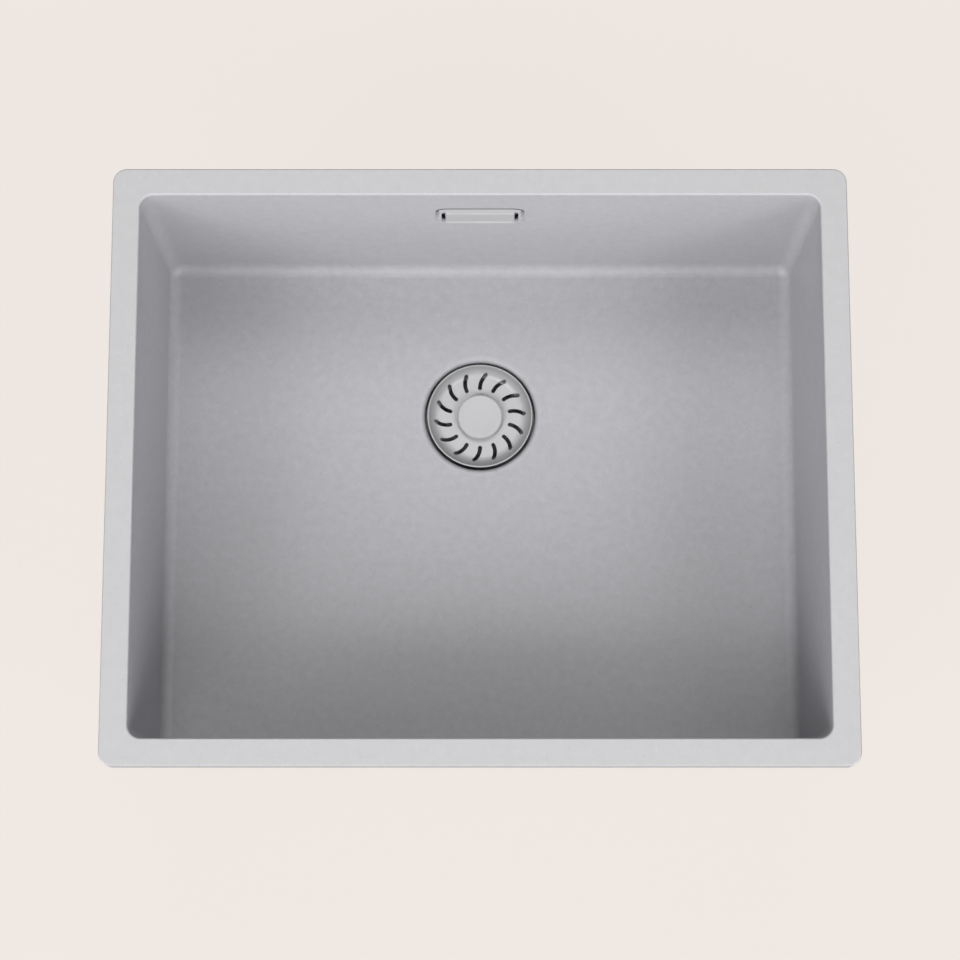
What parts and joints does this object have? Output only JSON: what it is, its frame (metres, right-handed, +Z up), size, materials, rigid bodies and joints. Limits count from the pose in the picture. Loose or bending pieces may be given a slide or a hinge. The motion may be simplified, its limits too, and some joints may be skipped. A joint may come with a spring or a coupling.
{
  "type": "composite sink",
  "caption": "Rectangular undermount composite sink with a flat rim, a slotted lift-out basket strainer over its waste, and a covered overflow in the back wall.",
  "frame": {"origin": "middle of the rim's flat top face, where the sink meets the worktop", "axes": "+X along the sink's length to the right, +Y to the back wall with the overflow, +Z up out of the basin"},
  "size_m": [0.54, 0.458, 0.287],
  "materials": {
    "composite": "matt mineral composite, fine grain",
    "strainer_finish": "satin coating in the bowl's grey",
    "cover_finish": "matt, in the bowl's grey",
    "cup_finish": "black coated steel",
    "steel": "brushed stainless steel",
    "brass": "turned brass",
    "rubber": "black rubber",
    "waste_plastic": "moulded pale grey plastic",
    "nut_plastic": "moulded dark grey plastic",
    "stem_plastic": "moulded black plastic",
    "clip_plastic": "natural white plastic"
  },
  "bodies": {
    "sink": {"bowl": "composite", "flange_seal": "rubber", "drain_cup": "cup_finish", "body_seal": "rubber", "waste_body": "waste_plastic", "waste_insert": "brass", "fixing_screw": "steel", "overflow_bridge": "steel", "overflow_screw": "steel", "overflow_insert": "brass", "overflow_gasket": "rubber", "overflow_housing": "waste_plastic", "housing_washer": "rubber", "housing_nut": "nut_plastic", "overflow_pipe": "waste_plastic", "inlet_washer": "rubber", "inlet_nut": "nut_plastic"},
    "clip": {"stem_clip": "clip_plastic"},
    "strainer": {"strainer_plate": "strainer_finish", "strainer_knob": "strainer_finish", "strainer_stem": "stem_plastic", "strainer_seal": "rubber"},
    "cover": {"overflow_cover": "cover_finish"}
  },
  "joints": [
    {"name": "strainer_turn", "type": "hinge", "parent": "sink", "child": "clip", "pos_m": [0, 0.075, -0.218], "axis": [0, 0, 1], "continuous": true},
    {"name": "strainer_lift", "type": "slide", "parent": "clip", "child": "strainer", "axis": [0, 0, 1], "range_m": [0, 0.235]},
    {"name": "overflow_cover_pull", "type": "slide", "parent": "sink", "child": "cover", "axis": [0, -1, 0], "range_m": [0, 0.03]}
  ]
}
